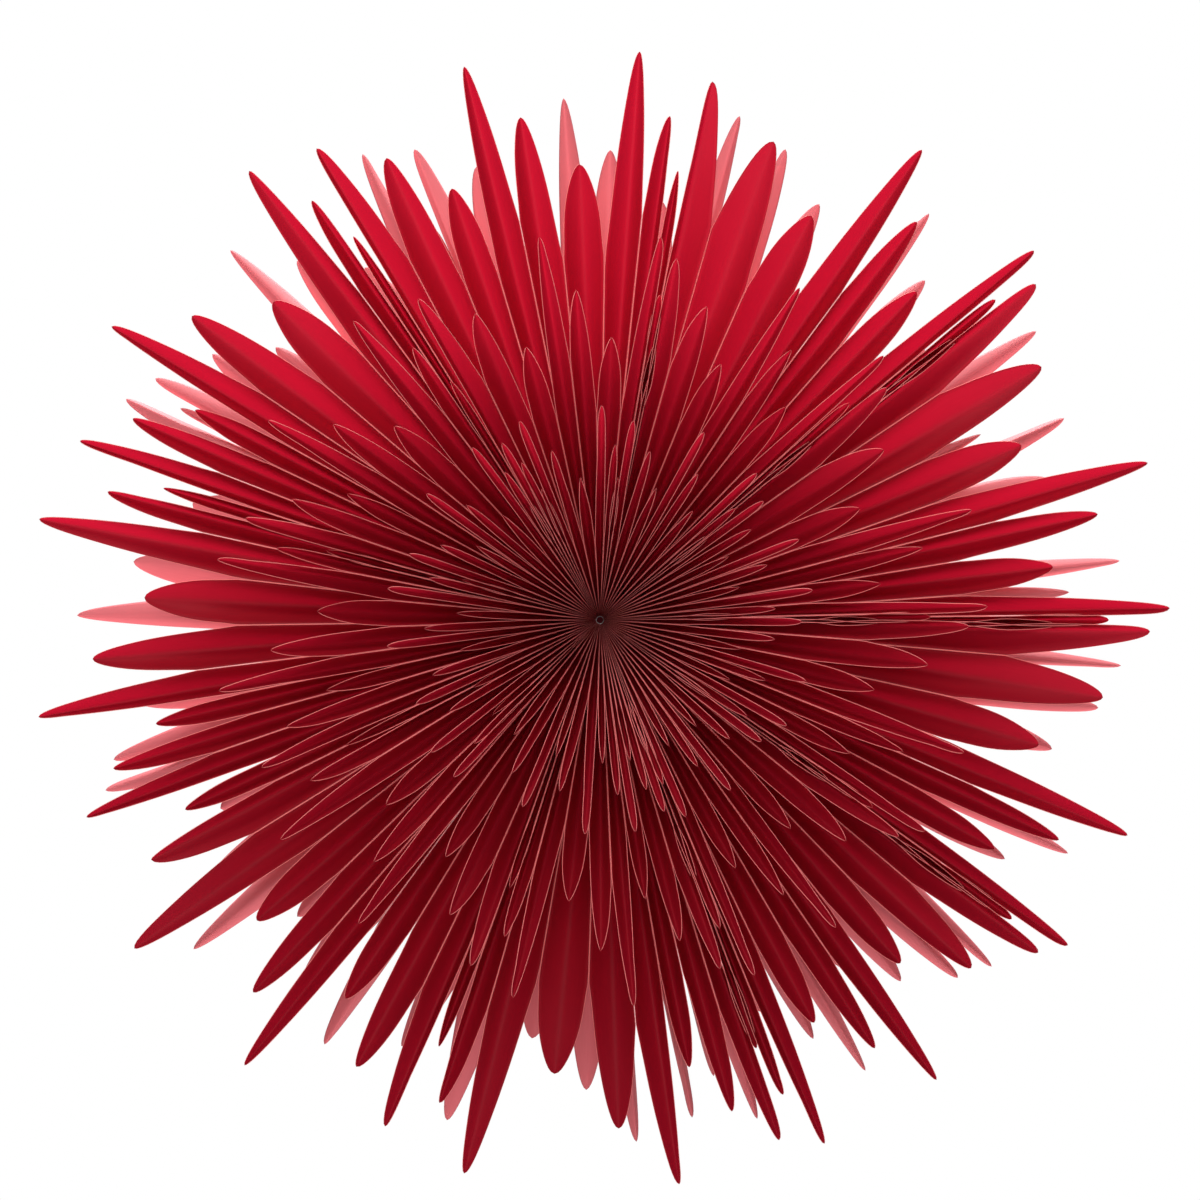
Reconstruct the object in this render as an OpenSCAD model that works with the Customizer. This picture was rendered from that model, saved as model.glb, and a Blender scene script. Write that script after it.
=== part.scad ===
/* [Outer ring of leaves] */
// Distance of the long tips from the star's axis
outer_tip_radius = 295; // [285:1:320]
// How far the long tips stand in front of the middle plane
outer_tip_forward = 60; // [55:1:75]
// How far the leaf roots stand in front of the middle plane
outer_root_forward = 16; // [15.5:0.5:20]
// Glued length of an edge beside a short leaf
outer_glued_length = 190; // [180:1:200]
// Glued length of the edge between a long and a medium leaf
outer_long_glued_length = 214; // [205:1:225]
// Width of each half of a leaf, from its fold to its edge
outer_half_width = 17; // [15:0.5:19]

/* [Middle ring of leaves] */
// Distance of the long tips from the star's axis
middle_tip_radius = 185; // [180:1:195]
// How far the long tips stand in front of the middle plane
middle_tip_forward = 165; // [155:1:175]
// How far the leaf roots stand in front of the middle plane
middle_root_forward = 25; // [24:0.5:29]
// Glued length of an edge beside a short leaf
middle_glued_length = 139; // [130:1:142]
// Glued length of the edge between a long and a medium leaf
middle_long_glued_length = 169; // [160:1:172]
// Width of each half of a leaf, from its fold to its edge
middle_half_width = 14; // [12:0.5:16]

/* [Inner ring of leaves] */
// Distance of the long tips from the star's axis
inner_tip_radius = 100; // [95:1:110]
// How far the long tips stand in front of the middle plane
inner_tip_forward = 195; // [190:1:205]
// How far the leaf roots stand in front of the middle plane
inner_root_forward = 34; // [33:0.5:38]
// Glued length of an edge, the same on every leaf of this ring
inner_glued_length = 90; // [80:1:95]
// Width of each half of a leaf, from its fold to its edge
inner_half_width = 11; // [9:0.5:12]

/* [Leaves] */
// Thickness of the card
card_thickness = 0.3; // [0.2:0.05:0.4]
// How much shorter a medium leaf is than a long one
medium_shortfall = 31; // [25:1:35]
// How much shorter a short leaf is than a long one
short_shortfall = 58; // [50:1:60]
// How much shorter the first leaf of each fan is than the other long ones
first_shortfall = 10; // [0:1:15]
// Half of the glue line between two leaves
glue_half_gap = 0.05; // [0.05:0.01:0.1]
// Gap between a leaf's pointed root and the pin that carries it
root_gap = 0.3; // [0.1:0.1:0.5]

/* [Core] */
// Radius of the two pins that carry the leaves
pin_radius = 1.6; // [1.4:0.1:2.2]
// How far a pin reaches past the roots of the inner leaves
pin_overhang = 1.5; // [1:0.5:4]
// Radius of the head that holds a pin behind the bracket
pin_head_radius = 6; // [4:0.5:8]
// Thickness of that head
pin_head_thickness = 1; // [0.8:0.1:1.2]
// Thickness of the steel strip of the bracket
strip_thickness = 1.2; // [0.8:0.1:1.5]
// Width of that strip
strip_width = 18; // [17.5:0.5:24]
// Gap between the lampholder's shell and a leg of the bracket
leg_gap = 0.5; // [0.3:0.1:1]
// Height of the bracket's top plate above the star's centre
plate_height = 62; // [60:0.5:70]

/* [Lampholder and bulb] */
// Radius of the bulb's glass tube
bulb_radius = 9; // [8:0.5:10]
// How far the bulb reaches below the star's centre
bulb_drop = 22; // [15:1:30]
// Radius of the bulb's metal cap
cap_radius = 7; // [6.5:0.1:7.5]
// Length of that cap
cap_length = 16; // [14:0.5:18]
// Radius of the lampholder's shell
holder_radius = 12; // [11:0.5:12.5]
// Radius of the lampholder's threaded stem
stem_radius = 6; // [5.5:0.1:6.5]
// Radius of the hole through that stem
stem_hole_radius = 4; // [3.8:0.1:4.4]
// Length of the stem above the bracket
stem_length = 9; // [8:0.5:12]
// Radius of the nut that holds the lampholder to the bracket
nut_radius = 10; // [9:0.5:12]
// Height of that nut
nut_height = 4; // [3:0.5:5]
// Radius of the cord's hole
cord_hole_radius = 3.2; // [2.8:0.1:3.6]
// Radius of the cord grip
grip_radius = 8; // [8:0.5:10]
// Height of the cord grip above the lampholder's nut
grip_height = 18; // [15:0.5:25]
// Gap between pieces that slide or screw into each other
fit_gap = 0.2; // [0.1:0.05:0.3]

/* [Hidden] */
$fn = 64;

// Leaves in one ring, in turn long, medium and short
LEAF_COUNT = 81;
LEAVES_PER_FAN = 9;

// Directions of the leaf tips are degrees clockwise from straight up, seen from the front.
// Each list gives the long leaves of one ring, as the squeezed and opened fans hold them.
OUTER_LONG_TIPS = [4, 11.8, 34.4, 49.6, 52.4, 74, 88.8, 91.2, 112.2, 124.8, 127.2, 143.8, 156.8,
    161, 172, 193.8, 203, 218.6, 234.8, 249, 260.2, 280.2, 289, 301, 322, 329, 346.2];
MIDDLE_LONG_TIPS = [9, 12, 31, 47, 51, 73.5, 88, 91, 110, 123, 126, 142.5, 156.5, 161,
    175, 193, 200.5, 218.5, 235.5, 246.5, 259.5, 279, 286, 301, 320.5, 330.5, 351];
INNER_LONG_TIPS = [0.5, 9.5, 29, 47, 54, 68, 82, 90.5, 106.5, 119.5, 127, 142.5, 156.5, 161.5,
    170.5, 184, 202.5, 223, 232, 245.5, 263, 278.5, 289, 306, 323.5, 331, 338];
REAR_LONG_TIPS = [15.5, 21.5, 39, 56.5, 66.5, 83.5, 95, 100, 116.5, 131.5, 135, 149.5, 162.5,
    169.5, 176, 197, 213, 231, 251, 254, 270.5, 295, 298.5, 315, 333, 338.5, 356];

// Shares of the way from one long tip to the next, for the leaves on both sides of a joint
// between two fans. The first three are the squeezed end of one fan; the next fan follows.
TIP_SHARES = [0, 0.5, 0.75, 0, 0.36, 0.7, 0, 0.27, 0.63];
// Number of the first leaf of the first fan
FIRST_LEAF = 3;
// The shoulder, where a leaf starts to close to its tip
SHOULDER_PLACE = 0.55;
SHOULDER_WIDTH = 0.62;
// A closed leaf keeps its opening up to the shoulder, to this many thicknesses of card
LEAST_OPENING = 2;
// An opened leaf keeps at least this share of its half width as depth
LEAST_DEPTH = 0.35;
// A closed leaf is thick across its fold, but no thicker than this share of its depth
MOST_FOLD_THICKNESS = 0.7;

// Material of the lampholder above the bulb's cap
SOCKET_ROOF = 14;
// Length of the cap that shows below the lampholder
CAP_SHOW = 1;
// Height of the slopes at both ends of the cap
CAP_SHOULDER = 2;
// How far a cutting shape reaches past the face that it cuts
CUT = 1;

root_radius = pin_radius + root_gap;
leg_forward = holder_radius + leg_gap;
pin_head_forward = leg_forward - pin_head_thickness;
pin_end_forward = inner_root_forward + pin_overhang;
nut_base = plate_height + strip_thickness;
grip_base = nut_base + nut_height;
hang_height = grip_base + grip_height;
socket_top = plate_height - SOCKET_ROOF;
cap_base = socket_top - fit_gap - cap_length;
holder_base = cap_base + CAP_SHOW;

// Each ring: long tip radius, long tip forward, root forward, glued length, long glued length
// and half width
OUTER = [outer_tip_radius, outer_tip_forward, outer_root_forward,
    outer_glued_length, outer_long_glued_length, outer_half_width];
MIDDLE = [middle_tip_radius, middle_tip_forward, middle_root_forward,
    middle_glued_length, middle_long_glued_length, middle_half_width];
INNER = [inner_tip_radius, inner_tip_forward, inner_root_forward,
    inner_glued_length, inner_glued_length, inner_half_width];

// Length and slope of a ring's leaves
function leaf_slope(ring) = atan2(ring[0] - root_radius, ring[1] - ring[2]);
function long_length(ring) = norm([ring[0] - root_radius, ring[1] - ring[2]]);
function shortfall(leaf) =
    leaf % LEAVES_PER_FAN == FIRST_LEAF
    ? first_shortfall
    : [0, medium_shortfall, short_shortfall][leaf % 3];
function leaf_length(ring, leaf) = long_length(ring) - shortfall(leaf);

// Direction of a leaf's fold and tip; leaf numbers past the last go once more round
function wrapped_tip(tips, long, share) =
    long + 1 < len(tips)
    ? tips[long] + share * (tips[long + 1] - tips[long])
    : tips[long] + share * (tips[0] + 360 - tips[long]);
function tip_direction(tips, leaf) =
    leaf >= LEAF_COUNT
    ? tip_direction(tips, leaf - LEAF_COUNT) + 360
    : wrapped_tip(tips, floor(leaf / 3), TIP_SHARES[leaf % LEAVES_PER_FAN]);

// Direction of the edge that a leaf shares with the next one
function edge_direction(tips, leaf) = (tip_direction(tips, leaf) + tip_direction(tips, leaf + 1)) / 2;

// A point in front of the middle plane, raised from the line of the folds towards the star's axis
function ring_point(ring, direction, along, rise) =
    let (slope = leaf_slope(ring))
    let (radius = root_radius + along * sin(slope) - rise * cos(slope))
    let (forward = ring[2] + along * cos(slope) + rise * sin(slope))
    [radius * sin(direction), -forward, radius * cos(direction)];

// Glued length of the edge between a leaf and the next one: long beside medium comes first
function glued_length(ring, leaf) = leaf % 3 == 0 ? ring[4] : ring[3];

// Half of the opening between two folds, and the depth that a half leaf has there
function half_opening(ring, tips, leaf, along) =
    let (radius = root_radius + along * sin(leaf_slope(ring)))
    radius * sin(edge_direction(tips, leaf) - tip_direction(tips, leaf));
function half_depth(ring, opening) =
    sqrt(max(pow(ring[5], 2) - pow(opening, 2), pow(LEAST_DEPTH * ring[5], 2)));

// One glued edge of a leaf: its outer corner, its inner corner and its opening.
// side is -1 for the edge shared with the leaf before and 1 for the leaf after.
function glued_edge(ring, tips, leaf, side) =
    let (shared = side < 0 ? leaf - 1 : leaf)
    let (along = glued_length(ring, shared))
    let (opening = half_opening(ring, tips, shared, along))
    let (depth = half_depth(ring, opening))
    let (radius = root_radius + along * sin(leaf_slope(ring)) - depth * cos(leaf_slope(ring)))
    let (edge = edge_direction(tips, shared))
    let (outer_turn = side * asin(glue_half_gap / radius))
    let (inner_turn = side * asin((glue_half_gap + card_thickness * depth / ring[5]) / radius))
    let (inner_rise = depth + card_thickness * min(1, opening / ring[5]))
    [ring_point(ring, edge - outer_turn, along, depth),
     ring_point(ring, edge - inner_turn, along, inner_rise),
     opening, depth, along];

// The corner of a leaf's shoulder on one side, with the same opening angle as at the glued edge
function shoulder_edge(ring, fold, side, along, glued) =
    let (least_opening = min(glued[2], LEAST_OPENING * card_thickness))
    let (opening = max(glued[2] * SHOULDER_WIDTH, least_opening))
    let (depth = glued[3] * SHOULDER_WIDTH)
    let (radius = root_radius + along * sin(leaf_slope(ring)) - depth * cos(leaf_slope(ring)))
    let (outer_turn = side * asin((opening - glue_half_gap) / radius))
    let (inner_shift = glue_half_gap + card_thickness * glued[3] / ring[5])
    let (inner_turn = side * asin((opening - inner_shift) / radius))
    let (inner_rise = depth + card_thickness * min(1, glued[2] / ring[5]))
    [ring_point(ring, fold + outer_turn, along, depth),
     ring_point(ring, fold + inner_turn, along, inner_rise)];

// Thickness of the card measured across the fold, which grows as the leaf closes
function fold_thickness(ring, opening, depth) =
    min(card_thickness * ring[5] / opening, depth * MOST_FOLD_THICKNESS);

function leaf_points(ring, tips, leaf) =
    let (left = glued_edge(ring, tips, leaf, -1))
    let (right = glued_edge(ring, tips, leaf, 1))
    let (along = (left[4] + right[4]) / 2)
    let (opening = (left[2] + right[2]) / 2)
    let (depth = min(left[3], right[3]))
    let (fold = tip_direction(tips, leaf))
    let (length = leaf_length(ring, leaf))
    let (shoulder = along + SHOULDER_PLACE * (length - along))
    let (left_shoulder = shoulder_edge(ring, fold, -1, shoulder, left))
    let (right_shoulder = shoulder_edge(ring, fold, 1, shoulder, right))
    let (inner_fold = fold_thickness(ring, opening, depth))
    let (shoulder_inner = fold_thickness(ring, opening, depth * SHOULDER_WIDTH))
    [ring_point(ring, fold, 0, 0),
     left[0], left[1], ring_point(ring, fold, along, inner_fold),
     right[1], right[0], ring_point(ring, fold, along, 0),
     left_shoulder[0], left_shoulder[1], ring_point(ring, fold, shoulder, shoulder_inner),
     right_shoulder[1], right_shoulder[0], ring_point(ring, fold, shoulder, 0),
     ring_point(ring, fold, length, 0)];

// Corners round a section of a leaf, and the faces of its root, its body and its tip
CORNERS = 6;
LEAF_FACES = [
    for (i = [0:CORNERS - 1]) [0, 1 + i, 1 + (i + 1) % CORNERS],
    for (i = [0:CORNERS - 1]) [1 + i, 1 + CORNERS + i, 1 + CORNERS + (i + 1) % CORNERS],
    for (i = [0:CORNERS - 1]) [1 + i, 1 + CORNERS + (i + 1) % CORNERS, 1 + (i + 1) % CORNERS],
    for (i = [0:CORNERS - 1]) [1 + 2 * CORNERS, 1 + CORNERS + (i + 1) % CORNERS, 1 + CORNERS + i]
];

module folded_leaf(ring, tips, leaf) {
    polyhedron(leaf_points(ring, tips, leaf), LEAF_FACES, convexity = 4);
}

module fan(ring, tips, number) {
    first = FIRST_LEAF + (number - 1) * LEAVES_PER_FAN;
    for (leaf = [first:first + LEAVES_PER_FAN - 1])
        folded_leaf(ring, tips, leaf);
}

module front_fan(ring, tips, number) {
    color("crimson") from_hook() fan(ring, tips, number);
}

module rear_fan(ring, number) {
    color("crimson") from_hook() mirror([0, 1, 0]) fan(ring, REAR_LONG_TIPS, number);
}

// The origin is the mouth of the cord's hole, straight above the star's centre
module from_hook() {
    translate([0, 0, -hang_height]) children();
}

// Stands a shape that was drawn upwards on the star's axis, so that it points to the front
module along_front(forward) {
    translate([0, -forward, 0]) rotate([90, 0, 0]) children();
}

// A headed pin on the star's axis; the leaves' roots sit round it, its head behind the bracket
module spine_pin() {
    along_front(pin_head_forward) union() {
        cylinder(h = pin_head_thickness, r = pin_head_radius);
        cylinder(h = pin_end_forward - pin_head_forward, r = pin_radius);
    }
}

module spine_pins() {
    color("maroon") from_hook() {
        spine_pin();
        mirror([0, 1, 0]) spine_pin();
    }
}

// A steel strip bent to a stirrup: a plate over the bulb and a leg in front of and behind it
module bracket_leg() {
    difference() {
        union() {
            translate([-strip_width / 2, -leg_forward - strip_thickness, 0])
                cube([strip_width, strip_thickness, plate_height]);
            along_front(leg_forward)
                cylinder(h = strip_thickness, r = strip_width / 2);
        }
        along_front(leg_forward - CUT)
            cylinder(h = strip_thickness + 2 * CUT, r = pin_radius + fit_gap);
    }
}

module hanger_bracket() {
    plate_depth = 2 * (leg_forward + strip_thickness);
    color("silver") from_hook() {
        bracket_leg();
        mirror([0, 1, 0]) bracket_leg();
        difference() {
            translate([-strip_width / 2, -plate_depth / 2, plate_height])
                cube([strip_width, plate_depth, strip_thickness]);
            translate([0, 0, plate_height - CUT])
                cylinder(h = strip_thickness + 2 * CUT, r = stem_radius + fit_gap);
        }
    }
}

module lampholder() {
    color("ivory") from_hook() difference() {
        union() {
            translate([0, 0, holder_base])
                cylinder(h = plate_height - holder_base, r = holder_radius);
            translate([0, 0, holder_base])
                cylinder(h = nut_base + stem_length - holder_base, r = stem_radius);
        }
        translate([0, 0, holder_base - CUT])
            cylinder(h = socket_top - holder_base + CUT, r = cap_radius + fit_gap);
        cylinder(h = hang_height, r = stem_hole_radius);
    }
}

module lampholder_nut() {
    color("ivory") from_hook() translate([0, 0, nut_base]) difference() {
        cylinder(h = nut_height, r = nut_radius, $fn = 6);
        translate([0, 0, -CUT])
            cylinder(h = nut_height + 2 * CUT, r = stem_radius + fit_gap);
    }
}

// A cap on the end of the stem, with the hole that the cord comes through
module cord_grip() {
    stem_room = stem_length - nut_height + fit_gap;
    color("ivory") from_hook() translate([0, 0, grip_base]) difference() {
        cylinder(h = grip_height, r = grip_radius);
        translate([0, 0, -CUT])
            cylinder(h = stem_room + CUT, r = stem_radius + fit_gap);
        translate([0, 0, -CUT])
            cylinder(h = grip_height + 2 * CUT, r = cord_hole_radius);
    }
}

// A slim tubular bulb hangs in the middle of the star with its cap up
module bulb() {
    color("white") from_hook() {
        translate([0, 0, bulb_radius - bulb_drop]) intersection() {
            sphere(r = bulb_radius);
            translate([0, 0, -bulb_radius])
                cylinder(h = bulb_radius, r = bulb_radius);
        }
        translate([0, 0, bulb_radius - bulb_drop])
            cylinder(h = cap_base - CAP_SHOULDER + bulb_drop - bulb_radius, r = bulb_radius);
        rotate_extrude() polygon([
            [0, cap_base - CAP_SHOULDER],
            [bulb_radius, cap_base - CAP_SHOULDER],
            [cap_radius, cap_base],
            [cap_radius, cap_base + cap_length - CAP_SHOULDER],
            [cap_radius / 2, cap_base + cap_length],
            [0, cap_base + cap_length]
        ]);
    }
}

front_fan(OUTER, OUTER_LONG_TIPS, 1);  // front_outer_fan_1
front_fan(OUTER, OUTER_LONG_TIPS, 2);  // front_outer_fan_2
front_fan(OUTER, OUTER_LONG_TIPS, 3);  // front_outer_fan_3
front_fan(OUTER, OUTER_LONG_TIPS, 4);  // front_outer_fan_4
front_fan(OUTER, OUTER_LONG_TIPS, 5);  // front_outer_fan_5
front_fan(OUTER, OUTER_LONG_TIPS, 6);  // front_outer_fan_6
front_fan(OUTER, OUTER_LONG_TIPS, 7);  // front_outer_fan_7
front_fan(OUTER, OUTER_LONG_TIPS, 8);  // front_outer_fan_8
front_fan(OUTER, OUTER_LONG_TIPS, 9);  // front_outer_fan_9
front_fan(MIDDLE, MIDDLE_LONG_TIPS, 1);  // front_middle_fan_1
front_fan(MIDDLE, MIDDLE_LONG_TIPS, 2);  // front_middle_fan_2
front_fan(MIDDLE, MIDDLE_LONG_TIPS, 3);  // front_middle_fan_3
front_fan(MIDDLE, MIDDLE_LONG_TIPS, 4);  // front_middle_fan_4
front_fan(MIDDLE, MIDDLE_LONG_TIPS, 5);  // front_middle_fan_5
front_fan(MIDDLE, MIDDLE_LONG_TIPS, 6);  // front_middle_fan_6
front_fan(MIDDLE, MIDDLE_LONG_TIPS, 7);  // front_middle_fan_7
front_fan(MIDDLE, MIDDLE_LONG_TIPS, 8);  // front_middle_fan_8
front_fan(MIDDLE, MIDDLE_LONG_TIPS, 9);  // front_middle_fan_9
front_fan(INNER, INNER_LONG_TIPS, 1);  // front_inner_fan_1
front_fan(INNER, INNER_LONG_TIPS, 2);  // front_inner_fan_2
front_fan(INNER, INNER_LONG_TIPS, 3);  // front_inner_fan_3
front_fan(INNER, INNER_LONG_TIPS, 4);  // front_inner_fan_4
front_fan(INNER, INNER_LONG_TIPS, 5);  // front_inner_fan_5
front_fan(INNER, INNER_LONG_TIPS, 6);  // front_inner_fan_6
front_fan(INNER, INNER_LONG_TIPS, 7);  // front_inner_fan_7
front_fan(INNER, INNER_LONG_TIPS, 8);  // front_inner_fan_8
front_fan(INNER, INNER_LONG_TIPS, 9);  // front_inner_fan_9
rear_fan(OUTER, 1);  // rear_outer_fan_1
rear_fan(OUTER, 2);  // rear_outer_fan_2
rear_fan(OUTER, 3);  // rear_outer_fan_3
rear_fan(OUTER, 4);  // rear_outer_fan_4
rear_fan(OUTER, 5);  // rear_outer_fan_5
rear_fan(OUTER, 6);  // rear_outer_fan_6
rear_fan(OUTER, 7);  // rear_outer_fan_7
rear_fan(OUTER, 8);  // rear_outer_fan_8
rear_fan(OUTER, 9);  // rear_outer_fan_9
rear_fan(MIDDLE, 1);  // rear_middle_fan_1
rear_fan(MIDDLE, 2);  // rear_middle_fan_2
rear_fan(MIDDLE, 3);  // rear_middle_fan_3
rear_fan(MIDDLE, 4);  // rear_middle_fan_4
rear_fan(MIDDLE, 5);  // rear_middle_fan_5
rear_fan(MIDDLE, 6);  // rear_middle_fan_6
rear_fan(MIDDLE, 7);  // rear_middle_fan_7
rear_fan(MIDDLE, 8);  // rear_middle_fan_8
rear_fan(MIDDLE, 9);  // rear_middle_fan_9
rear_fan(INNER, 1);  // rear_inner_fan_1
rear_fan(INNER, 2);  // rear_inner_fan_2
rear_fan(INNER, 3);  // rear_inner_fan_3
rear_fan(INNER, 4);  // rear_inner_fan_4
rear_fan(INNER, 5);  // rear_inner_fan_5
rear_fan(INNER, 6);  // rear_inner_fan_6
rear_fan(INNER, 7);  // rear_inner_fan_7
rear_fan(INNER, 8);  // rear_inner_fan_8
rear_fan(INNER, 9);  // rear_inner_fan_9
spine_pins();
hanger_bracket();
lampholder();
lampholder_nut();
cord_grip();
bulb();
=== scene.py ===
"""Looks of the paper star lamp: 486 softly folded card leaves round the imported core."""
import math

import bpy
import numpy as np
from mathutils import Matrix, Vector


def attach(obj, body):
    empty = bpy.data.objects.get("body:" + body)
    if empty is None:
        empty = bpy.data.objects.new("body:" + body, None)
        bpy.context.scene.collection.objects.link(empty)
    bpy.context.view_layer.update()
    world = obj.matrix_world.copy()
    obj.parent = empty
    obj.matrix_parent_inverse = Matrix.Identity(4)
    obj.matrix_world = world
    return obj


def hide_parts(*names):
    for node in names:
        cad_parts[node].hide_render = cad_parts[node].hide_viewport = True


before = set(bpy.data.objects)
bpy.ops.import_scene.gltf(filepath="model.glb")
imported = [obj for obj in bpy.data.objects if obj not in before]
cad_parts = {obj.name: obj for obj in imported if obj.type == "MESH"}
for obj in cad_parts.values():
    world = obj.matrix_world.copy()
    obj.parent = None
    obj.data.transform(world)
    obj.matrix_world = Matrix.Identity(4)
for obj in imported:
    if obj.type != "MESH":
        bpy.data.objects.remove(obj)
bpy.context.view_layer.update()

# Sizes of the star, in metres, the same as in the part
MM = 0.001
PIN_RADIUS = 1.6 * MM
ROOT_GAP = 0.3 * MM
ROOT_RADIUS = PIN_RADIUS + ROOT_GAP
CARD = 0.3 * MM
GLUE_HALF_GAP = 0.05 * MM
# How much a long, a medium and a short leaf fall short of the ring's full length
SHORTFALL = (0.0, 31 * MM, 58 * MM)
# The same for the first leaf of each fan, a long one
FIRST_SHORTFALL = 10 * MM
STAR_CENTRE_Z = -85.2 * MM
# The tips drawn here end this much inside the solids' tips
TIP_INSET = 0.02 * MM
# An opened leaf keeps at least this share of its half width as depth
LEAST_DEPTH = 0.35

LEAF_COUNT = 81
LEAVES_PER_FAN = 9
FAN_COUNT = LEAF_COUNT // LEAVES_PER_FAN
# Shares of the way from one long tip to the next, for the leaves on both sides of a joint
# between two fans. The first three are the squeezed end of one fan; the next fan follows.
TIP_SHARES = (0.0, 0.5, 0.75, 0.0, 0.36, 0.7, 0.0, 0.27, 0.63)
# Number of the first leaf of the first fan
FIRST_LEAF = 3

# Directions of the long tips, in degrees clockwise from straight up, seen from the front
LONG_TIPS = {
    "front_outer": (4, 11.8, 34.4, 49.6, 52.4, 74, 88.8, 91.2, 112.2, 124.8, 127.2, 143.8,
                    156.8, 161, 172, 193.8, 203, 218.6, 234.8, 249, 260.2, 280.2, 289, 301,
                    322, 329, 346.2),
    "front_middle": (9, 12, 31, 47, 51, 73.5, 88, 91, 110, 123, 126, 142.5, 156.5, 161,
                     175, 193, 200.5, 218.5, 235.5, 246.5, 259.5, 279, 286, 301, 320.5,
                     330.5, 351),
    "front_inner": (0.5, 9.5, 29, 47, 54, 68, 82, 90.5, 106.5, 119.5, 127, 142.5, 156.5,
                    161.5, 170.5, 184, 202.5, 223, 232, 245.5, 263, 278.5, 289, 306,
                    323.5, 331, 338),
    "rear": (15.5, 21.5, 39, 56.5, 66.5, 83.5, 95, 100, 116.5, 131.5, 135, 149.5, 162.5,
             169.5, 176, 197, 213, 231, 251, 254, 270.5, 295, 298.5, 315, 333, 338.5, 356),
}

# The resolution of one leaf's mesh: stations along the fold, columns from edge to edge
STATIONS = 34
COLUMNS_PER_HALF = 6
COLUMN_COUNT = 2 * COLUMNS_PER_HALF + 1
COLUMNS = np.linspace(-1, 1, COLUMN_COUNT)
# Where the first station is, measured from the root's point
FIRST_STATION = 0.6 * MM
# Above 1 it brings the stations closer together towards the tip
STATION_POWER = 1.6
# Power of the curve of a leaf's section
CURVE = 1.5

# Shares of half the opening that the card's thickness and the glue gap may take near the hub
MOST_THICKNESS = 0.24
MOST_GAP = 0.1
# The card's thickness is laid out as if its section were at least this steep and this flat
LEAST_STEEPNESS = 0.2
LEAST_FLATNESS = 0.25
# Keeps a division clear of zero
TINY = 1e-9

# Past its glued edges a leaf springs open by this share, up to a limit
SPRING = 0.28
SPRING_BY = 0.7
OPEN_ANGLE = math.radians(80)
# How a long, a medium and a short leaf narrows to its tip, and how late the tip rounds off
TAPER = (0.78, 0.68, 0.48)
ROUNDING = (14, 8, 3.5)
# Half the width that a leaf keeps up to its tip, if its slot between the neighbours is as wide
SLOT_WIDTH = 2.2 * MM
# A squeezed leaf spreads over its neighbours past the glue, to this share of its half width
SPREAD_SHARE = 0.19
SPREAD_BY = 0.5
# Share of its card's width that such a leaf may spread to
MOST_SPREAD = 0.9


class Ring:
    """One ring of leaves: where its roots and long tips are, and how far its edges are glued."""

    def __init__(self, tip_radius, tip_forward, root_forward, glued, long_glued, half_width,
                 full_width_from):
        self.root_forward = root_forward
        self.glued = glued
        self.long_glued = long_glued
        self.half_width = half_width
        self.full_width_from = full_width_from
        run = tip_radius - ROOT_RADIUS
        climb = tip_forward - root_forward
        self.length = math.hypot(run, climb)
        self.slope_out = run / self.length
        self.slope_forward = climb / self.length

    def glued_length(self, leaf):
        """Length of the edge glued to the next leaf."""
        return self.long_glued if leaf % 3 == 0 else self.glued


RINGS = {
    "outer": Ring(295 * MM, 60 * MM, 16 * MM, 190 * MM, 214 * MM, 17 * MM, 90 * MM),
    "middle": Ring(185 * MM, 165 * MM, 25 * MM, 139 * MM, 169 * MM, 14 * MM, 70 * MM),
    "inner": Ring(100 * MM, 195 * MM, 34 * MM, 90 * MM, 90 * MM, 11 * MM, 48 * MM),
}


def tip_direction(tips, leaf):
    """Direction of a leaf's tip; leaf numbers past the last one go once more round."""
    turns, leaf = divmod(leaf, LEAF_COUNT)
    start = tips[leaf // 3]
    end = tips[leaf // 3 + 1] if leaf // 3 + 1 < len(tips) else tips[0] + 360
    return 360 * turns + start + TIP_SHARES[leaf % LEAVES_PER_FAN] * (end - start)


def smooth(x):
    """Rises softly from 0 to 1 as x does, and stays level outside."""
    x = np.clip(x, 0, 1)
    return x * x * (3 - 2 * x)


def page_width(ring, along):
    """Half width of a leaf in its glued stretch, full from a little way out from the hub."""
    x = np.clip(along / ring.full_width_from, 0, 1)
    return ring.half_width * (1 - (1 - x) ** 2)


def round_off(kind, free):
    """How far the end of a leaf is rounded off: 1 where it comes free, 0 at its tip."""
    return np.sqrt(1 - free ** ROUNDING[kind])


def edge_of_leaf(ring, tips, leaf, side, along, length):
    """How far one edge is from the fold, sideways and in depth, at each station."""
    kind = leaf % 3
    shared = leaf - 1 if side < 0 else leaf
    glued = ring.glued_length(shared)
    held = np.minimum(along, glued)
    half_angle = math.radians(tip_direction(tips, shared + 1) - tip_direction(tips, shared)) / 2
    opening = (ROOT_RADIUS + held * ring.slope_out) * math.sin(half_angle)
    width = page_width(ring, held)
    depth = np.sqrt(np.maximum(width ** 2 - opening ** 2, (LEAST_DEPTH * width) ** 2))
    free = np.clip((along - glued) / (length - glued), 0, 1)
    closing = (1 - TAPER[kind] * free) * round_off(kind, free)
    # Past the glue the leaf springs open, and a squeezed one spreads wider than its slot
    paper = np.sqrt(opening ** 2 + depth ** 2) * closing
    angle = np.arctan2(opening, depth)
    angle = np.minimum(angle * (1 + SPRING * smooth(free / SPRING_BY)), OPEN_ANGLE)
    spread = np.maximum(SPREAD_SHARE * ring.half_width - opening, 0) * smooth(free / SPREAD_BY)
    least = (np.minimum(opening, SLOT_WIDTH) + spread) * round_off(kind, free)
    across = np.maximum(paper * np.sin(angle), np.minimum(least, MOST_SPREAD * paper))
    return across, np.sqrt(np.maximum(paper ** 2 - across ** 2, 0))


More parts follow.
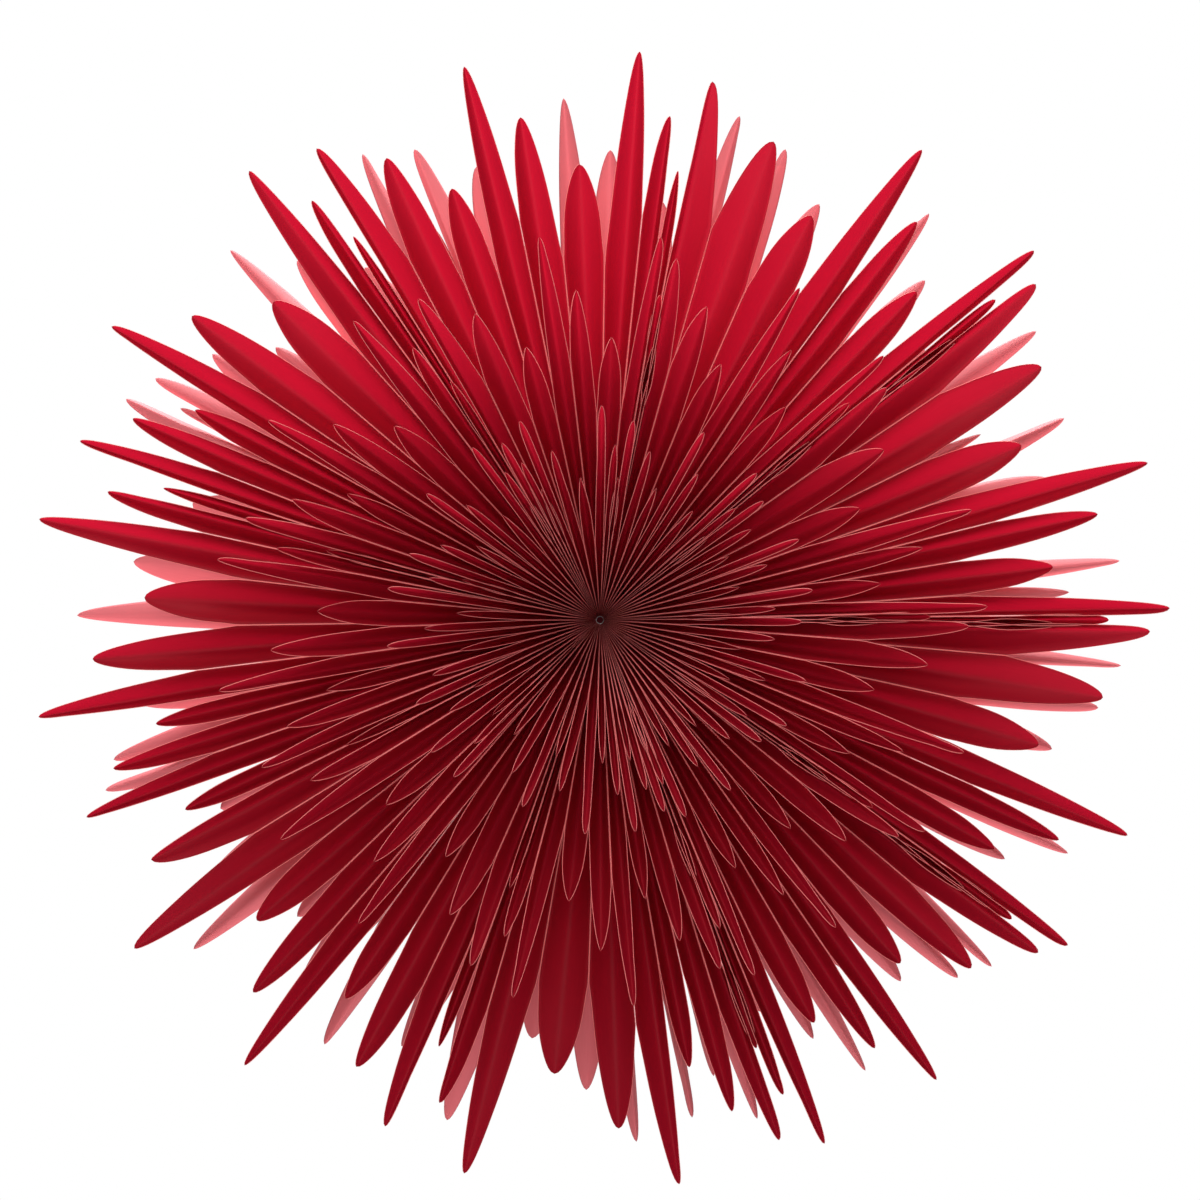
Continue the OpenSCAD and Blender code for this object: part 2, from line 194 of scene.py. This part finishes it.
def place(ring, direction, along, across, rise):
    """Points beside a leaf's fold and raised from it towards the star's axis."""
    radius = ROOT_RADIUS + along * ring.slope_out - rise * ring.slope_forward
    forward = ring.root_forward + along * ring.slope_forward + rise * ring.slope_out
    angle = direction + np.arcsin(across / (ROOT_RADIUS + along * ring.slope_out))
    return np.stack([radius * np.sin(angle), -forward, radius * np.cos(angle)], axis=-1)


def leaf_grids(ring, tips, leaf):
    """Points of a folded leaf's outer and inner side by station and column, and its stations."""
    first_of_fan = leaf % LEAVES_PER_FAN == FIRST_LEAF
    shortfall = FIRST_SHORTFALL if first_of_fan else SHORTFALL[leaf % 3]
    length = ring.length - shortfall - TIP_INSET
    x = np.linspace(0, 1, STATIONS)
    along = FIRST_STATION + (length - FIRST_STATION) * (1 - (1 - x) ** STATION_POWER)
    fold = math.radians(tip_direction(tips, leaf))
    edges = {side: edge_of_leaf(ring, tips, leaf, side, along, length) for side in (-1, 1)}
    outer = np.zeros((STATIONS, COLUMN_COUNT, 3))
    inner = np.zeros_like(outer)
    for number, column in enumerate(COLUMNS):
        side = -1 if column < 0 else 1
        share = abs(column)
        half_opening, half_depth = edges[side]
        # A curved section, flat at the fold and steep at the edge
        across = half_opening * share
        rise = half_depth * share ** CURVE
        # Its slope gives the direction of the card's thickness
        rate = half_depth * CURVE * share ** (CURVE - 1)
        run = np.sqrt(half_opening ** 2 + rate ** 2) + TINY
        steepness = np.maximum(rate / run, LEAST_STEEPNESS)
        flatness = np.maximum(half_opening / run, LEAST_FLATNESS)
        thickness = np.minimum(CARD, MOST_THICKNESS * half_opening / steepness)
        gap = np.minimum(GLUE_HALF_GAP, MOST_GAP * half_opening) * share
        in_across = np.maximum(across - gap - thickness * rate / run * share, 0)
        in_rise = rise + thickness * flatness
        outer[:, number] = place(ring, fold, along, side * (across - gap), rise)
        inner[:, number] = place(ring, fold, along, side * in_across, in_rise)
    return outer, inner, along


# Finishes of a leaf, in the order in which leaf_faces gives its groups of faces
LEAF_FINISHES = ("card", "card_back", "cut_edge")
# Points of one leaf, on both sides
POINTS_PER_SIDE = STATIONS * COLUMN_COUNT
POINTS_PER_LEAF = 2 * POINTS_PER_SIDE
# Sideways step, in metres, from one leaf to the next in the pattern of streaks
STREAK_STEP = 0.05


def leaf_faces(start):
    """Faces of the leaf whose points begin at start: inner side, outer side and cut rims."""
    outer = np.arange(POINTS_PER_SIDE).reshape(STATIONS, COLUMN_COUNT) + start
    inner = outer + POINTS_PER_SIDE
    sheet = np.stack([outer[:-1, :-1], outer[:-1, 1:], outer[1:, 1:], outer[1:, :-1]], axis=-1)
    lining = np.stack([inner[:-1, :-1], inner[1:, :-1], inner[1:, 1:], inner[:-1, 1:]], axis=-1)
    left = np.stack([outer[:-1, 0], outer[1:, 0], inner[1:, 0], inner[:-1, 0]], axis=-1)
    right = np.stack([outer[:-1, -1], inner[:-1, -1], inner[1:, -1], outer[1:, -1]], axis=-1)
    root = np.stack([outer[0, :-1], inner[0, :-1], inner[0, 1:], outer[0, 1:]], axis=-1)
    tip = np.stack([outer[-1, :-1], outer[-1, 1:], inner[-1, 1:], inner[-1, :-1]], axis=-1)
    rims = np.concatenate([left, right, root, tip])
    return lining.reshape(-1, 4), sheet.reshape(-1, 4), rims


def fan_piece(name, ring, tips, number, rear, rng):
    """One object of nine leaves, each a closed sheet with two sides and its own cut rims."""
    points = []
    faces = []
    slots = []
    leaf_uv = []
    tones = []
    first = FIRST_LEAF + (number - 1) * LEAVES_PER_FAN
    for leaf in range(first, first + LEAVES_PER_FAN):
        outer, inner, along = leaf_grids(ring, tips, leaf)
        points += [outer.reshape(-1, 3), inner.reshape(-1, 3)]
        for slot, group in enumerate(leaf_faces((leaf - first) * POINTS_PER_LEAF)):
            faces.append(group)
            slots.append(np.full(len(group), slot, dtype=np.int32))
        across = np.tile(COLUMNS * ring.half_width, STATIONS)
        lengthwise = np.repeat(along, COLUMN_COUNT)
        uv = np.stack([across + leaf * STREAK_STEP, lengthwise], axis=-1)
        leaf_uv += [uv, uv]
        tones.append(np.full(POINTS_PER_LEAF, rng.uniform(0, 1)))
    points = np.concatenate(points)
    faces = np.concatenate(faces)
    slots = np.concatenate(slots)
    leaf_uv = np.concatenate(leaf_uv).astype(np.float32)
    tones = np.concatenate(tones).astype(np.float32)
    # The rear half is the front half mirrored, so its faces turn the other way
    if rear:
        points[:, 1] *= -1
    else:
        faces = faces[:, ::-1]
    points[:, 2] += STAR_CENTRE_Z
    mesh = bpy.data.meshes.new(name)
    mesh.from_pydata(points.tolist(), [], faces.tolist())
    for finish in LEAF_FINISHES:
        mesh.materials.append(MATERIALS[finish])
    mesh.polygons.foreach_set("material_index", slots)
    mesh.polygons.foreach_set("use_smooth", slots != LEAF_FINISHES.index("cut_edge"))
    layer = mesh.uv_layers.new(name="leaf")
    corners = np.empty(len(mesh.loops), dtype=np.int32)
    mesh.loops.foreach_get("vertex_index", corners)
    layer.data.foreach_set("uv", leaf_uv[corners].ravel())
    tone = mesh.attributes.new("tone", "FLOAT", "POINT")
    tone.data.foreach_set("value", tones)
    mesh.update()
    piece = bpy.data.objects.new(name, mesh)
    bpy.context.scene.collection.objects.link(piece)
    return piece


def new_material(name):
    material = bpy.data.materials.new(name)
    material.use_nodes = True
    material.node_tree.nodes.clear()
    return material, material.node_tree.nodes, material.node_tree.links


# Pattern of the card, to the metre: streaks across and along a leaf, and grain
STREAKS_ACROSS = 900
STREAKS_ALONG = 30
CARD_GRAIN = 2600.0
# How far one leaf's own tone moves it from the dark to the light colour
TONE_SHIFT = 0.45


def card_material(name, dark, light, through_colour, translucent):
    """One side of the card: fine grain, faint lengthwise streaks, and light that comes through.

    A ray that meets this side from within the card passes it, so light is dyed only once.
    """
    material, nodes, links = new_material(name)
    output = nodes.new("ShaderNodeOutputMaterial")
    shader = nodes.new("ShaderNodeBsdfPrincipled")
    shader.inputs["Roughness"].default_value = 0.55
    shader.inputs["Specular IOR Level"].default_value = 0.12
    # Colour: streaks along the leaf and one tone for the whole leaf
    uv = nodes.new("ShaderNodeUVMap")
    uv.uv_map = "leaf"
    stretch = nodes.new("ShaderNodeMapping")
    stretch.inputs["Scale"].default_value = (STREAKS_ACROSS, STREAKS_ALONG, 1)
    streaks = nodes.new("ShaderNodeTexNoise")
    streaks.inputs["Scale"].default_value = 1.0
    streaks.inputs["Detail"].default_value = 3.0
    tone = nodes.new("ShaderNodeAttribute")
    tone.attribute_name = "tone"
    blend = nodes.new("ShaderNodeMath")
    blend.operation = "MULTIPLY_ADD"
    blend.inputs[1].default_value = TONE_SHIFT
    colour = nodes.new("ShaderNodeValToRGB")
    colour.color_ramp.elements[0].color = (*dark, 1)
    colour.color_ramp.elements[1].color = (*light, 1)
    links.new(uv.outputs["UV"], stretch.inputs["Vector"])
    links.new(stretch.outputs["Vector"], streaks.inputs["Vector"])
    links.new(tone.outputs["Fac"], blend.inputs[0])
    links.new(streaks.outputs["Fac"], blend.inputs[2])
    links.new(blend.outputs["Value"], colour.inputs["Fac"])
    links.new(colour.outputs["Color"], shader.inputs["Base Color"])
    # Surface: the grain of the card
    where = nodes.new("ShaderNodeTexCoord")
    grain = nodes.new("ShaderNodeTexNoise")
    grain.inputs["Scale"].default_value = CARD_GRAIN
    grain.inputs["Detail"].default_value = 2.0
    bump = nodes.new("ShaderNodeBump")
    bump.inputs["Strength"].default_value = 0.12
    bump.inputs["Distance"].default_value = 0.00008
    links.new(where.outputs["Object"], grain.inputs["Vector"])
    links.new(grain.outputs["Fac"], bump.inputs["Height"])
    links.new(bump.outputs["Normal"], shader.inputs["Normal"])
    # Light from the other side shows through
    through = nodes.new("ShaderNodeBsdfTranslucent")
    through.inputs["Color"].default_value = (*through_colour, 1)
    mix = nodes.new("ShaderNodeMixShader")
    mix.inputs["Fac"].default_value = translucent
    links.new(shader.outputs["BSDF"], mix.inputs[1])
    links.new(through.outputs["BSDF"], mix.inputs[2])
    # From within the card this side is clear
    geometry = nodes.new("ShaderNodeNewGeometry")
    clear = nodes.new("ShaderNodeBsdfTransparent")
    sides = nodes.new("ShaderNodeMixShader")
    links.new(geometry.outputs["Backfacing"], sides.inputs["Fac"])
    links.new(mix.outputs["Shader"], sides.inputs[1])
    links.new(clear.outputs["BSDF"], sides.inputs[2])
    links.new(sides.outputs["Shader"], output.inputs["Surface"])
    return material


# Grain of the plain finishes, to the metre, and how far it moves their roughness either way
PLAIN_GRAIN = 900.0
ROUGHNESS_SPREAD = 0.08


def plain_material(name, base, roughness, metallic=0.0, gloss=0.5, bump_depth=0.00005):
    """A finish with fine grain in its roughness and surface."""
    material, nodes, links = new_material(name)
    output = nodes.new("ShaderNodeOutputMaterial")
    shader = nodes.new("ShaderNodeBsdfPrincipled")
    shader.inputs["Base Color"].default_value = (*base, 1)
    shader.inputs["Metallic"].default_value = metallic
    shader.inputs["Specular IOR Level"].default_value = gloss
    where = nodes.new("ShaderNodeTexCoord")
    grain = nodes.new("ShaderNodeTexNoise")
    grain.inputs["Scale"].default_value = PLAIN_GRAIN
    grain.inputs["Detail"].default_value = 4.0
    spread = nodes.new("ShaderNodeMapRange")
    spread.inputs["To Min"].default_value = roughness - ROUGHNESS_SPREAD
    spread.inputs["To Max"].default_value = roughness + ROUGHNESS_SPREAD
    bump = nodes.new("ShaderNodeBump")
    bump.inputs["Strength"].default_value = 0.3
    bump.inputs["Distance"].default_value = bump_depth
    links.new(where.outputs["Object"], grain.inputs["Vector"])
    links.new(grain.outputs["Fac"], spread.inputs["Value"])
    links.new(spread.outputs["Result"], shader.inputs["Roughness"])
    links.new(grain.outputs["Fac"], bump.inputs["Height"])
    links.new(bump.outputs["Normal"], shader.inputs["Normal"])
    links.new(shader.outputs["BSDF"], output.inputs["Surface"])
    return material


MATERIALS = {
    "card": card_material("card", (0.20, 0.003, 0.009), (0.27, 0.0045, 0.013),
                          (0.85, 0.010, 0.045), 0.2),
    "card_back": card_material("card_back", (0.70, 0.16, 0.18), (0.80, 0.22, 0.24),
                               (0.70, 0.12, 0.14), 0.3),
    "cut_edge": plain_material("cut_edge", (1.0, 0.27, 0.26), 0.9, bump_depth=0.00002,
                               gloss=0.05),
    "spine_plastic": plain_material("spine_plastic", (0.05, 0.004, 0.006), 0.9, gloss=0.0),
    "bracket_steel": plain_material("bracket_steel", (0.62, 0.62, 0.64), 0.35, metallic=1.0),
    "holder_plastic": plain_material("holder_plastic", (0.78, 0.75, 0.68), 0.4),
    "bulb_glass": plain_material("bulb_glass", (0.88, 0.87, 0.84), 0.25),
}


def build_leaves():
    """All leaves, a fan at a time, in place of the solids of the same fans."""
    rng = np.random.default_rng(27)
    for half in ("front", "rear"):
        for ring_name, ring in RINGS.items():
            tips = LONG_TIPS["rear"] if half == "rear" else LONG_TIPS[f"front_{ring_name}"]
            for number in range(1, FAN_COUNT + 1):
                node = f"{half}_{ring_name}_fan_{number}"
                piece = fan_piece(f"{node}_leaves", ring, tips, number, half == "rear", rng)
                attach(piece, "root")
                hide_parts(node)


def finish_core():
    """Finishes for the solids inside the star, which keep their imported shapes."""
    finishes = {
        "spine_pins": "spine_plastic",
        "hanger_bracket": "bracket_steel",
        "lampholder": "holder_plastic",
        "lampholder_nut": "holder_plastic",
        "cord_grip": "holder_plastic",
        "bulb": "bulb_glass",
    }
    for node, material in finishes.items():
        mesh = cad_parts[node].data
        mesh.materials.clear()
        mesh.materials.append(MATERIALS[material])


# The camera stands in front of the star, level with its centre. The photo's size, the focal
# length and the star's place below the photo's middle are in pixels, the distance in metres
# and the sensor's width in millimetres.
PHOTO_SIZE = 1200
FOCAL_PIXELS = 2589
CENTRE_BELOW_MIDDLE = 20
CAMERA_DISTANCE = 1.4
SENSOR = 36.0


def add_camera():
    camera = bpy.data.cameras.new("camera")
    camera.sensor_width = SENSOR
    camera.lens = FOCAL_PIXELS / PHOTO_SIZE * SENSOR
    camera.shift_y = CENTRE_BELOW_MIDDLE / PHOTO_SIZE
    holder = bpy.data.objects.new("camera", camera)
    holder.location = (0, -CAMERA_DISTANCE, STAR_CENTRE_Z)
    holder.rotation_euler = (math.radians(90), 0, 0)
    bpy.context.scene.collection.objects.link(holder)
    bpy.context.scene.camera = holder


# Each lamp's place and width, in metres, and its power in watts
LAMPS = {
    "above": ((0.15, 0.5, 1.5), 0.9, 36),
    "above_behind": ((0.0, 1.1, 1.25), 0.8, 33),
    "above_in_front": ((-0.3, -0.9, 1.4), 0.6, 13),
    "in_front": ((-0.1, -2.4, 0.3), 0.8, 22),
}


def add_lamp(name, stand, width, power):
    """A round soft lamp that faces the star's centre."""
    light = bpy.data.lights.new(name, "AREA")
    light.shape = "DISK"
    light.size = width
    light.energy = power
    holder = bpy.data.objects.new(name, light)
    holder.location = stand
    direction = Vector((0, 0, STAR_CENTRE_Z)) - Vector(stand)
    holder.rotation_euler = direction.to_track_quat("-Z", "Y").to_euler()
    bpy.context.scene.collection.objects.link(holder)


def white_for_sight(nodes, links, plain_output, white, output_input, share=1.0):
    """Mixes in a share of white where the camera, gloss or glass looks, and none elsewhere."""
    path = nodes.new("ShaderNodeLightPath")
    glossy = nodes.new("ShaderNodeMath")
    glossy.operation = "MAXIMUM"
    seen = nodes.new("ShaderNodeMath")
    seen.operation = "MAXIMUM"
    whiteness = nodes.new("ShaderNodeMath")
    whiteness.operation = "MULTIPLY"
    whiteness.inputs[1].default_value = share
    white.inputs["Color"].default_value = (1, 1, 1, 1)
    white.inputs["Strength"].default_value = 1.0
    mix = nodes.new("ShaderNodeMixShader")
    links.new(path.outputs["Is Camera Ray"], glossy.inputs[0])
    links.new(path.outputs["Is Glossy Ray"], glossy.inputs[1])
    links.new(glossy.outputs["Value"], seen.inputs[0])
    links.new(path.outputs["Is Transmission Ray"], seen.inputs[1])
    links.new(seen.outputs["Value"], whiteness.inputs[0])
    links.new(whiteness.outputs["Value"], mix.inputs["Fac"])
    links.new(plain_output, mix.inputs[1])
    links.new(white.outputs[0], mix.inputs[2])
    links.new(mix.outputs["Shader"], output_input)


# Strength of the white light that comes from all round
AMBIENT = 0.02


def add_world():
    world = bpy.data.worlds.new("studio")
    world.use_nodes = True
    nodes, links = world.node_tree.nodes, world.node_tree.links
    nodes.clear()
    output = nodes.new("ShaderNodeOutputWorld")
    soft = nodes.new("ShaderNodeBackground")
    soft.inputs["Color"].default_value = (1, 1, 1, 1)
    soft.inputs["Strength"].default_value = AMBIENT
    white_for_sight(nodes, links, soft.outputs["Background"],
                    nodes.new("ShaderNodeBackground"), output.inputs["Surface"])
    bpy.context.scene.world = world


# Height and width of the floor, in metres, its grey level, and its share of white for the eye
FLOOR_Z = -1.1
FLOOR_SIZE = 5.0
FLOOR_GREY = 0.9
FLOOR_WHITENESS = 0.8


def add_floor():
    """A pale floor well below the hanging star."""
    half = FLOOR_SIZE / 2
    mesh = bpy.data.meshes.new("floor")
    mesh.from_pydata([(-half, -half, FLOOR_Z), (half, -half, FLOOR_Z),
                      (half, half, FLOOR_Z), (-half, half, FLOOR_Z)], [], [(0, 1, 2, 3)])
    floor = bpy.data.objects.new("floor", mesh)
    bpy.context.scene.collection.objects.link(floor)
    material, nodes, links = new_material("floor")
    output = nodes.new("ShaderNodeOutputMaterial")
    shader = nodes.new("ShaderNodeBsdfDiffuse")
    shader.inputs["Color"].default_value = (FLOOR_GREY, FLOOR_GREY, FLOOR_GREY, 1)
    white_for_sight(nodes, links, shader.outputs["BSDF"], nodes.new("ShaderNodeEmission"),
                    output.inputs["Surface"], FLOOR_WHITENESS)
    mesh.materials.append(material)


add_camera()
build_leaves()
finish_core()
add_world()
add_floor()
for lamp_name, (stand, width, power) in LAMPS.items():
    add_lamp(lamp_name, stand, width, power)

bpy.context.scene.view_settings.view_transform = "Standard"
